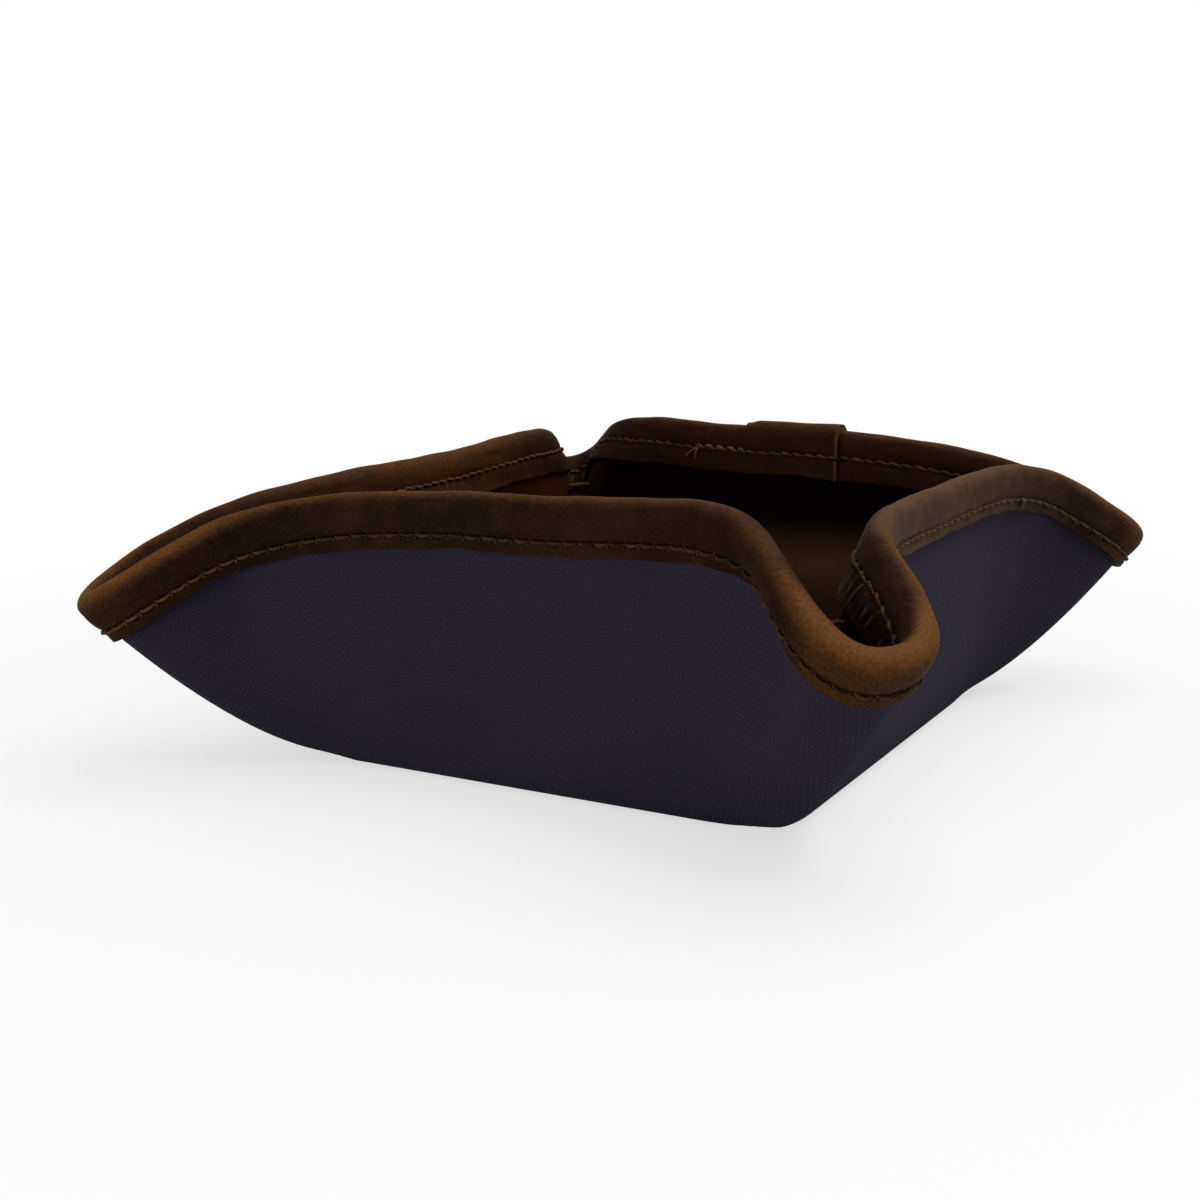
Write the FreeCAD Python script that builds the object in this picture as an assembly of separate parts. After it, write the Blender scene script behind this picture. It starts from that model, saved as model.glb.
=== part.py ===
import FreeCAD, Part
import math
import os

# A shallow tray folded from one square of canvas lined with leather, its edge bound with a leather strip.
# Each corner is pinched into an open ear and held by a thread tack. Millimetres, +Z up.
# The origin is the middle of the underside of the base. The front wall faces -Y and the right wall +X.

# The cut sheet, laid flat, and its layers
sheet_size = 228.0
sheet_corner_radius = 60.0
canvas_thickness = 1.0
lining_thickness = 1.2
layer_gap = 0.25

# The base, and how far the sheet lies on the table past its edge before it turns up
base_width = 106.2
base_depth = 107.4
base_corner_radius = 15.0
wall_fold_reach = 5.0
ear_fold_reach = 15.0
rise_share = 0.28
lift_share = 0.35

# Walls in the order front, right, back, left: how far the crest leans out past the base, and its height
wall_rim_leans = [4.9, 11.2, 8.8, 5.2]
wall_rim_heights = [59.4, 57.0, 59.0, 56.7]
wall_rim_straight = 27.5

# Corners in the order near, right, far, left, starting between the front and the right wall.
# The neck is where the two walls come closest, and the tip is the end of the ear.
# Overhangs are from the base's corner, along the diagonal, and shifts are across it.
corner_names = ["near", "right", "far", "left"]
neck_overhangs = [19.7, 22.5, 18.0, 21.7]
neck_half_gaps = [12.4, 7.1, 10.6, 8.3]
neck_heights = [56.5, 49.6, 54.0, 50.4]
neck_shifts = [0.5, -1.5, -7.7, -0.4]
neck_twists = [-2.8, 0.0, -0.8, 0.0]
neck_entries = [13.8, 15.4, 18.0, 15.4]
neck_exit = 14.1
neck_slope_share = 0.8
tip_overhangs = [41.0, 43.0, 39.3, 44.8]
tip_heights = [43.5, 36.6, 44.0, 37.3]
tip_shifts = [1.6, 0.7, -9.0, -0.4]
tip_rounds = [9.2, 8.7, 8.6, 7.4]

# The pinch below each neck, a little way out towards the tip, and the tack that holds it
pinch_shift = 2.0
pinch_drops = [11.4, 12.0, 12.0, 12.0]
pinch_depth = 30.0
pinch_width = 23.0
tack_spans = [9.5, 5.6, 5.6, 5.6]
tack_diameter = 1.4
tack_seat_gap = 0.25

# The binding strip: one leg on each side of the sheet's edge, its ends lapped on the back wall.
# The outer leg has a length for each wall, and changes from one to the next round the ears.
binding_thickness = 1.2
outer_legs = [9.2, 8.0, 9.2, 9.2]
inner_leg = 10.0
lap_length = 24.5
lap_shift = 6.2

# The seam through the binding: how far it lies above the lower edge of each leg, and its threads
outer_seam_margin = 2.5
inner_seam_margin = 5.0
thread_diameter = 0.8
thread_gap = 0.15
thread_run_up = 5.0
thread_ramp = 9.0

# How finely the surfaces are drawn
half_corner_stations = 20
lap_stations = 9
profile_samples = 160
rim_samples = 160
step_share = 0.02
wall_row_shares = [0.0, 0.03, 0.07, 0.12, 0.19, 0.28, 0.39, 0.5,
                   0.6, 0.68, 0.75, 0.81, 0.86, 0.9, 0.94, 0.97, 1.0]
leg_row_shares = [0.0, 0.25, 0.5, 0.75]
ear_change_power = 4
crest_steps = 6
thread_sides = 8

up = FreeCAD.Vector(0, 0, 1)
half_sheet = sheet_size / 2
floor_height = canvas_thickness + layer_gap / 2

# Distances from the sheet's middle surface, outwards positive
canvas_inner = layer_gap / 2
canvas_outer = canvas_inner + canvas_thickness
lining_outer = -layer_gap / 2
lining_inner = lining_outer - lining_thickness
binding_top = layer_gap + binding_thickness


def bezier(points, share):
    """Point of a cubic curve with four control points."""
    rest = 1 - share
    a, b, c, d = points
    return a * rest ** 3 + b * (3 * share * rest ** 2) + c * (3 * share ** 2 * rest) + d * share ** 3


def unit(vector):
    return vector / vector.Length


def length_table(points):
    """Points of a line and the length up to each of them."""
    lengths = [0.0]
    for first, second in zip(points, points[1:]):
        lengths.append(lengths[-1] + (second - first).Length)
    return points, lengths


def curve_table(points, samples):
    """Length table of a cubic curve."""
    return length_table([bezier(points, i / samples) for i in range(samples + 1)])


def along(table, share):
    """Point of a sampled curve at a share of its length."""
    points, lengths = table
    target = share * lengths[-1]
    index = 0
    while index < len(lengths) - 2 and lengths[index + 1] < target:
        index += 1
    part = (target - lengths[index]) / (lengths[index + 1] - lengths[index])
    return points[index] + (points[index + 1] - points[index]) * part


def drop_to(table, level):
    """Length from the upper end of a line down to a level, and the point there."""
    points, lengths = table
    index = max(i for i in range(len(points) - 1) if points[i].z <= level)
    part = (level - points[index].z) / (points[index + 1].z - points[index].z)
    point = points[index] + (points[index + 1] - points[index]) * part
    return lengths[-1] - lengths[index] - part * (lengths[index + 1] - lengths[index]), point


def bump(distance, reach):
    """Smooth hill: one at no distance, zero at the reach and beyond."""
    if abs(distance) >= reach:
        return 0.0
    return math.cos(math.pi / 2 * distance / reach) ** 2


class HalfCorner:
    """The stretch of the sheet from the middle of a wall to the tip of an ear."""

    def __init__(self, corner, side):
        self.side = side
        wall = corner if side < 0 else (corner + 1) % 4
        next_wall = (corner + 1) % 4 if side < 0 else corner
        self.outer_leg = outer_legs[wall]
        self.tip_leg = (outer_legs[wall] + outer_legs[next_wall]) / 2
        turn = math.pi / 2 * corner - math.pi / 4
        self.diagonal = FreeCAD.Vector(math.cos(turn), math.sin(turn), 0)
        self.across = FreeCAD.Vector(-math.sin(turn), math.cos(turn), 0)
        aside = self.across * side
        self.outward = unit(self.diagonal + aside)
        self.forward = unit(self.diagonal - aside)
        faces_front = wall % 2 == 0
        self.base_out = (base_depth if faces_front else base_width) / 2
        self.base_along = (base_width if faces_front else base_depth) / 2
        middle = self.outward * (self.base_out + wall_rim_leans[wall]) + up * wall_rim_heights[wall]
        base_corner = self.forward * self.base_along + self.outward * self.base_out
        axis = base_corner + self.diagonal * neck_overhangs[corner] + self.across * neck_shifts[corner]
        axis = axis + up * neck_heights[corner]
        neck = axis + aside * neck_half_gaps[corner] + up * (side * neck_twists[corner])
        tip = base_corner + self.diagonal * tip_overhangs[corner] + self.across * tip_shifts[corner]
        tip = tip + up * tip_heights[corner]
        run = tip - axis
        run = run / math.hypot(run.x, run.y)
        run.z = run.z * neck_slope_share
        self.wall_curve = [middle, middle + self.forward * wall_rim_straight,
                           neck - run * neck_entries[corner], neck]
        self.ear_curve = [neck, neck + run * neck_exit, tip + aside * tip_rounds[corner], tip]
        self.wall_table = curve_table(self.wall_curve, rim_samples)
        self.ear_table = curve_table(self.ear_curve, rim_samples)
        self.wall_length = self.wall_table[1][-1]
        self.length = self.wall_length + self.ear_table[1][-1]
        self.neck_share = self.wall_length / self.length
        self.pinch_share = self.neck_share + pinch_shift / self.length

    def crest(self, share):
        """Point of the rim's crest at a share of the way from the wall's middle to the tip."""
        if share <= self.neck_share:
            return along(self.wall_table, share / self.neck_share)
        return along(self.ear_table, (share - self.neck_share) / (1 - self.neck_share))

    def base(self, share):
        """Point of the base's outline under that share, the way out of it, and how far round the corner."""
        straight = half_sheet - sheet_corner_radius
        distance = share * (straight + sheet_corner_radius * math.pi / 4)
        if distance <= straight:
            flat_along, flat_out = distance, half_sheet
        else:
            angle = (distance - straight) / sheet_corner_radius
            flat_along = straight + sheet_corner_radius * math.sin(angle)
            flat_out = straight + sheet_corner_radius * math.cos(angle)
        start_along = self.base_along - base_corner_radius
        start_out = self.base_out - base_corner_radius
        if flat_along <= start_along:
            return self.forward * flat_along + self.outward * self.base_out, self.outward, 0.0
        angle = math.atan2(flat_along - start_along, flat_out - start_out)
        way = self.forward * math.sin(angle) + self.outward * math.cos(angle)
        start = self.forward * start_along + self.outward * start_out
        return start + way * base_corner_radius, way, angle / (math.pi / 4)

    def profile(self, share):
        """The sheet's middle line from the base up to its edge, before the pinch."""
        foot, way, round_share = self.base(share)
        foot = foot + up * floor_height
        crest = self.crest(share)
        rise = unit(unit(crest - foot) + up * lift_share)
        edge = crest - rise * binding_top
        reach = wall_fold_reach + (ear_fold_reach - wall_fold_reach) * round_share ** 2
        points = [foot, foot + way * reach, edge - rise * (rise_share * (edge - foot).Length), edge]
        return curve_table(points, profile_samples)

    def pull_share(self, drop):
        """How much of the pinch acts at a length below the edge: none at the edge, all at the tack.
        The side with the longer way down to the tack turns in later."""
        if drop < self.pinch_drop:
            return math.sin(math.pi / 2 * (drop / self.pinch_drop) ** self.pull_power)
        return bump(drop - self.pinch_drop, pinch_depth)


class Sheet:
    """The folded sheet's middle surface, by a station round the rim and a share of the wall's height."""

    def __init__(self):
        self.halves = [HalfCorner(corner, side) for corner in range(4) for side in (-1, 1)]
        self.profiles = {}
        for corner in range(4):
            self.set_pinch(corner, self.halves[2 * corner], self.halves[2 * corner + 1])

    def set_pinch(self, corner, before, after):
        """Find the tack's level in an ear, and how far its two walls are drawn together there."""
        crest_level = (before.crest(before.pinch_share).z + after.crest(after.pinch_share).z) / 2
        level = crest_level - binding_top - pinch_drops[corner]
        middles = []
        for half in (before, after):
            half.tack_level = level
            half.pinch_drop, middle = drop_to(half.profile(half.pinch_share), level)
            middles.append(middle)
        for half in (before, after):
            half.pull_power = half.pinch_drop / min(before.pinch_drop, after.pinch_drop)
        half_span = (middles[1] - middles[0]).dot(before.across) / 2
        before.pinch = after.pinch = half_span - (tack_spans[corner] / 2 - lining_inner)

    def locate(self, station):
        """Half corner and share for a station counted in half corners from the middle of the front wall."""
        station = station % len(self.halves)
        index = int(station)
        share = station - index
        return index, share if index % 2 == 0 else 1 - share

    def profile(self, station):
        """The middle line up the sheet. Each pinch draws the two walls of an ear together below the edge."""
        key = round(station % len(self.halves), 6)
        if key not in self.profiles:
            index, share = self.locate(station)
            half = self.halves[index]
            points, lengths = half.profile(share)
            near_pinch = bump((share - half.pinch_share) * half.length, pinch_width)
            pull = half.across * (half.side * half.pinch * near_pinch)
            drops = [lengths[-1] - length for length in lengths]
            drawn = [point - pull * half.pull_share(drop) for point, drop in zip(points, drops)]
            self.profiles[key] = length_table(drawn)
        return self.profiles[key]

    def slant(self, station):
        return self.profile(station)[1][-1]

    def middle(self, station, height):
        return along(self.profile(station), height)

    def frame(self, station, height):
        """Middle point, outward direction and upward direction at a place on the sheet."""
        ahead = self.middle(station + step_share, height) - self.middle(station - step_share, height)
        high, low = min(1, height + step_share), max(0, height - step_share)
        rise = unit(self.middle(station, high) - self.middle(station, low))
        if height <= 0:
            rise.z = 0
        return self.middle(station, height), unit(ahead.cross(rise)), rise

    def offset(self, station, height, distance):
        point, outward, _ = self.frame(station, height)
        return point + outward * distance

    def over_edge(self, station, distance, rise):
        """Point beside the sheet's edge, and above it by the rise."""
        point, outward, way_up = self.frame(station, 1.0)
        return point + outward * distance + way_up * rise

    def leg_height(self, station, drop):
        """Share of the wall's height that lies a length below the sheet's edge."""
        return 1 - drop / self.slant(station)

    def leg(self, station, side):
        """Length of the binding's outer (1) or inner (-1) leg."""
        if side < 0:
            return inner_leg
        index, share = self.locate(station)
        half = self.halves[index]
        return half.outer_leg + (half.tip_leg - half.outer_leg) * share ** ear_change_power


sheet = Sheet()
station_count = half_corner_stations * len(sheet.halves)
stations = [i / half_corner_stations for i in range(station_count)]


def ring_poles(rows):
    """Control points of closed rows, moved out so that the smooth surface passes through the rows' points."""
    poles = []
    for row in rows:
        size = len(row)
        bends = [row[i - 1] - row[i] * 2 + row[(i + 1) % size] for i in range(size)]
        poles.append([point - bend / 6 for point, bend in zip(row, bends)])
    return poles


def knots_for(count, degree):
    """Knots and repeats of an open curve that starts and ends at its first and last control points."""
    spans = count - degree
    return list(range(spans + 1)), [degree + 1] + [1] * (spans - 1) + [degree + 1]


def surface_through(poles, closed):
    """Smooth face over rows of control points. Closed rows run round the tray."""
    across_degree = min(3, len(poles) - 1)
    across_knots, across_repeats = knots_for(len(poles), across_degree)
    size = len(poles[0])
    if closed:
        knots, repeats = list(range(size + 1)), [1] * (size + 1)
    else:
        knots, repeats = knots_for(size, 3)
    surface = Part.BSplineSurface()
    surface.buildFromPolesMultsKnots(poles, across_repeats, repeats, across_knots, knots,
                                     False, closed, across_degree, 3)
    return surface


def floor_face(poles):
    """Flat face inside one closed row of control points."""
    size = len(poles)
    curve = Part.BSplineCurve()
    curve.buildFromPolesMultsKnots(poles, [1] * (size + 1), list(range(size + 1)), True, 3)
    return Part.Face(Part.Wire(curve.toShape()))


def solid_from(faces, tolerance=layer_gap / 50):
    """Closed solid sewn from its faces."""
    shell = Part.makeCompound(faces)
    shell.sewShape(tolerance)
    solid = Part.makeSolid(Part.Shell(shell.Faces))
    if solid.Volume < 0:
        solid.reverse()
    return solid


def cup(outer_distance, inner_distance):
    """One layer of the folded sheet: floor, walls and ears, from one distance to another."""
    outer = ring_poles([[sheet.offset(s, row, outer_distance) for s in stations] for row in wall_row_shares])
    inner = ring_poles([[sheet.offset(s, row, inner_distance) for s in stations] for row in wall_row_shares])
    faces = [surface_through(outer, True).toShape(), surface_through(inner, True).toShape()]
    faces.append(surface_through([outer[-1], inner[-1]], True).toShape())
    faces += [floor_face(outer[0]), floor_face(inner[0])]
    return solid_from(faces)


def leg_rows(places, side, distance):
    """Rows up one leg of the binding, from its lower edge to below the crest."""
    rows = []
    for row in leg_row_shares:
        heights = [sheet.leg_height(s, sheet.leg(s, side) * (1 - row)) for s in places]
        rows.append([sheet.offset(s, height, distance) for s, height in zip(places, heights)])
    return rows


def binding_rows(places, lift):
    """Rows over the outside of the binding, from the outer leg over the crest to the inner leg."""
    outside = canvas_outer + layer_gap + lift
    inside = lining_inner - layer_gap - lift
    middle, half = (outside + inside) / 2, (outside - inside) / 2
    rows = leg_rows(places, 1, outside)
    for step in range(crest_steps + 1):
        angle = math.pi * step / crest_steps
        rise = (layer_gap + lift) * math.sin(angle)
        rows.append([sheet.over_edge(s, middle + half * math.cos(angle), rise) for s in places])
    return rows + leg_rows(places, -1, inside)[::-1]


def binding_loop():
    """The strip folded over the whole edge."""
    skin = ring_poles(binding_rows(stations, binding_thickness))
    outside = canvas_outer + layer_gap
    inside = lining_inner - layer_gap
    outer = leg_rows(stations, 1, outside)
    outer.append([sheet.over_edge(s, outside, layer_gap) for s in stations])
    inner = leg_rows(stations, -1, inside)
    inner.append([sheet.over_edge(s, inside, layer_gap) for s in stations])
    outer, inner = ring_poles(outer), ring_poles(inner)
    faces = [surface_through(rows, True).toShape() for rows in (skin, outer, inner)]
    faces.append(surface_through([outer[-1], inner[-1]], True).toShape())
    faces.append(surface_through([skin[0], outer[0]], True).toShape())
    faces.append(surface_through([skin[-1], inner[0]], True).toShape())
    return solid_from(faces)


def back_station(distance):
    """Station on the back wall at a distance from its middle, towards the right wall positive."""
    middle = 4.0
    half = sheet.halves[3] if distance > 0 else sheet.halves[4]
    return middle - distance / half.length


def binding_lap():
    """The strip's last stretch, which lies over its start on the back wall."""
    places = []
    for i in range(lap_stations):
        share = i / (lap_stations - 1)
        places.append(back_station(lap_shift + lap_length * (1 / 2 - share)))
    low = binding_thickness + layer_gap
    skin = binding_rows(places, low + binding_thickness)
    seat = binding_rows(places, low)
    faces = [surface_through(skin, False).toShape(), surface_through(seat, False).toShape()]
    for end in (0, -1):
        faces.append(surface_through([skin[end], seat[end]], False).toShape())
        skin_end = [row[end] for row in skin]
        seat_end = [row[end] for row in seat]
        faces.append(surface_through([skin_end, seat_end], False).toShape())
    return solid_from(faces)


def lap_rise(station):
    """How far the thread climbs over the lapped end at a station."""
    middle = back_station(lap_shift)
    half = sheet.halves[3]
    distance = abs(station - middle) * half.length - lap_length / 2 - thread_run_up
    climb = max(0.0, min(1.0, 1 - distance / thread_ramp))
    return (binding_thickness + layer_gap) * climb ** 2 * (3 - 2 * climb)


def thread_loop(side):
    """One thread of the seam, lying on the outer (1) or inner (-1) leg of the binding."""
    radius = thread_diameter / 2
    if side > 0:
        margin, seat = outer_seam_margin, canvas_outer + layer_gap + binding_thickness
    else:
        margin, seat = inner_seam_margin, -lining_inner + layer_gap + binding_thickness
    sections = []
    pole_radius = radius * 3 / (2 + math.cos(2 * math.pi / thread_sides))
    for s in stations:
        height = sheet.leg_height(s, sheet.leg(s, side) - margin)
        point, outward, rise = sheet.frame(s, height)
        middle = point + outward * (side * (seat + lap_rise(s) + thread_gap + radius))
        section = []
        for i in range(thread_sides):
            angle = 2 * math.pi * i / thread_sides
            section.append(middle + (outward * math.cos(angle) + rise * math.sin(angle)) * pole_radius)
        sections.append(section)
    poles = ring_poles([[section[i] for section in sections] for i in range(thread_sides)])
    knots, repeats = list(range(thread_sides + 1)), [1] * (thread_sides + 1)
    round_knots, round_repeats = list(range(station_count + 1)), [1] * (station_count + 1)
    surface = Part.BSplineSurface()
    surface.buildFromPolesMultsKnots(poles, repeats, round_repeats, knots, round_knots, True, True, 3, 3)
    solid = Part.makeSolid(Part.Shell([surface.toShape()]))
    if solid.Volume < 0:
        solid.reverse()
    return solid


def corner_tack(corner):
    """Round-ended bar of thread across the pinch, from lining to lining."""
    radius = tack_diameter / 2
    ends = []
    for index in (2 * corner, 2 * corner + 1):
        half = sheet.halves[index]
        share = half.pinch_share if index % 2 == 0 else 1 - half.pinch_share
        station = index + share
        drop = drop_to(sheet.profile(station), half.tack_level)[0]
        height = sheet.leg_height(station, drop)
        ends.append(sheet.offset(station, height, lining_inner - tack_seat_gap - radius))
    way = ends[1] - ends[0]
    bar = Part.makeCylinder(radius, way.Length, ends[0], way)
    return bar.fuse([Part.makeSphere(radius, end) for end in ends]).removeSplitter()


def save(shape, name):
    shape.exportStep("parts/" + name + ".step")
    sound = all(solid.isValid() for solid in shape.Solids)
    print(name, "solids", len(shape.Solids), "volume", round(shape.Volume, 1), "sound", sound)


os.makedirs("parts", exist_ok=True)
save(cup(canvas_outer, canvas_inner), "canvas_shell")
save(cup(lining_outer, lining_inner), "leather_lining")
save(Part.makeCompound([binding_loop(), binding_lap()]), "edge_binding")
save(thread_loop(1), "outer_thread")
save(thread_loop(-1), "inner_thread")
for number, corner_name in enumerate(corner_names):
    save(corner_tack(number), "corner_tack_" + corner_name)
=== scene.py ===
import math

import bpy
import numpy as np
from mathutils import Matrix


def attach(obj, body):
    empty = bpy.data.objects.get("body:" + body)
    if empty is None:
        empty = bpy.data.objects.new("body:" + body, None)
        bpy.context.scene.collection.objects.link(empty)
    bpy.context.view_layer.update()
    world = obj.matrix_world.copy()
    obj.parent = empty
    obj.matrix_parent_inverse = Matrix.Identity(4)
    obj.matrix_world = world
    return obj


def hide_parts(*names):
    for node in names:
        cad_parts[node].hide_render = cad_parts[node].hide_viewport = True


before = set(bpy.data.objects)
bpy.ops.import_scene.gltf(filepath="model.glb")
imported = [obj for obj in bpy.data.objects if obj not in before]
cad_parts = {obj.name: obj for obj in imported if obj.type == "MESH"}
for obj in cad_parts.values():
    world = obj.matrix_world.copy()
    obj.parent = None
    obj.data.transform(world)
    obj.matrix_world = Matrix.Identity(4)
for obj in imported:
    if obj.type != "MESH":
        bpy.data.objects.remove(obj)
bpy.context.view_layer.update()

# A canvas tray lined with leather, folded by the same rule as its solids. Metres, +Z up.
mm = 0.001
up = np.array([0.0, 0.0, 1.0])

# The cut sheet and its layers
sheet_size = 228 * mm
sheet_corner_radius = 60 * mm
canvas_thickness = 1.0 * mm
lining_thickness = 1.2 * mm
layer_gap = 0.25 * mm

# The base and the turn up into the walls
base_width = 106.2 * mm
base_depth = 107.4 * mm
base_corner_radius = 15 * mm
wall_fold_reach = 5 * mm
ear_fold_reach = 15 * mm
rise_share = 0.28
lift_share = 0.35

# Walls in the order front, right, back, left
wall_rim_leans = np.array([4.9, 11.2, 8.8, 5.2]) * mm
wall_rim_heights = np.array([59.4, 57.0, 59.0, 56.7]) * mm
wall_rim_straight = 27.5 * mm

# Corners in the order near, right, far, left
corner_names = ["near", "right", "far", "left"]
neck_overhangs = np.array([19.7, 22.5, 18.0, 21.7]) * mm
neck_half_gaps = np.array([12.4, 7.1, 10.6, 8.3]) * mm
neck_heights = np.array([56.5, 49.6, 54.0, 50.4]) * mm
neck_shifts = np.array([0.5, -1.5, -7.7, -0.4]) * mm
neck_twists = np.array([-2.8, 0.0, -0.8, 0.0]) * mm
neck_entries = np.array([13.8, 15.4, 18.0, 15.4]) * mm
neck_exit = 14.1 * mm
neck_slope_share = 0.8
tip_overhangs = np.array([41.0, 43.0, 39.3, 44.8]) * mm
tip_heights = np.array([43.5, 36.6, 44.0, 37.3]) * mm
tip_shifts = np.array([1.6, 0.7, -9.0, -0.4]) * mm
tip_rounds = np.array([9.2, 8.7, 8.6, 7.4]) * mm

# The pinch and its tack
pinch_shift = 2 * mm
pinch_drops = np.array([11.4, 12.0, 12.0, 12.0]) * mm
pinch_depth = 30 * mm
pinch_width = 23 * mm
tack_spans = np.array([9.5, 5.6, 5.6, 5.6]) * mm

# The binding, its lap and its seam
binding_thickness = 1.2 * mm
outer_legs = np.array([9.2, 8.0, 9.2, 9.2]) * mm
inner_leg = 10 * mm
ear_change_power = 4
lap_length = 24.5 * mm
lap_shift = 6.2 * mm
outer_seam_margin = 2.5 * mm
inner_seam_margin = 5 * mm
stitch_pitch = 3.6 * mm
inner_stitch_pitch = 3.1 * mm

floor_height = canvas_thickness + layer_gap / 2
canvas_inner = layer_gap / 2
canvas_outer = canvas_inner + canvas_thickness
lining_outer = -layer_gap / 2
lining_inner = lining_outer - lining_thickness
binding_top = layer_gap + binding_thickness
skin_outside = canvas_outer + binding_top
skin_inside = lining_inner - binding_top
crest_start = 1 * mm
crest_width = math.pi * (skin_outside - skin_inside) / 4

# How finely the fold is drawn
half_stations = 150
height_steps = 100
curve_samples = 200
slope_stations = 3
slope_heights = 2


def unit(v):
    return v / np.linalg.norm(v, axis=-1, keepdims=True)


def bezier(points, share):
    """Points of cubic curves at shares of their parameter."""
    a, b, c, d = points
    t = np.asarray(share)[..., None]
    r = 1 - t
    return a * r ** 3 + b * (3 * t * r ** 2) + c * (3 * t ** 2 * r) + d * t ** 3


def run_of(points):
    """Length up to each point of a line of points."""
    return np.concatenate([[0.0], np.cumsum(np.linalg.norm(np.diff(points, axis=0), axis=1))])


def bump(distance, reach):
    """Smooth hill: one at no distance, zero at the reach and beyond."""
    share = np.clip(np.abs(distance) / reach, 0, 1)
    return np.cos(math.pi / 2 * share) ** 2


def smooth(low, high, value):
    t = np.clip((value - low) / (high - low), 0, 1)
    return t * t * (3 - 2 * t)


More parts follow.
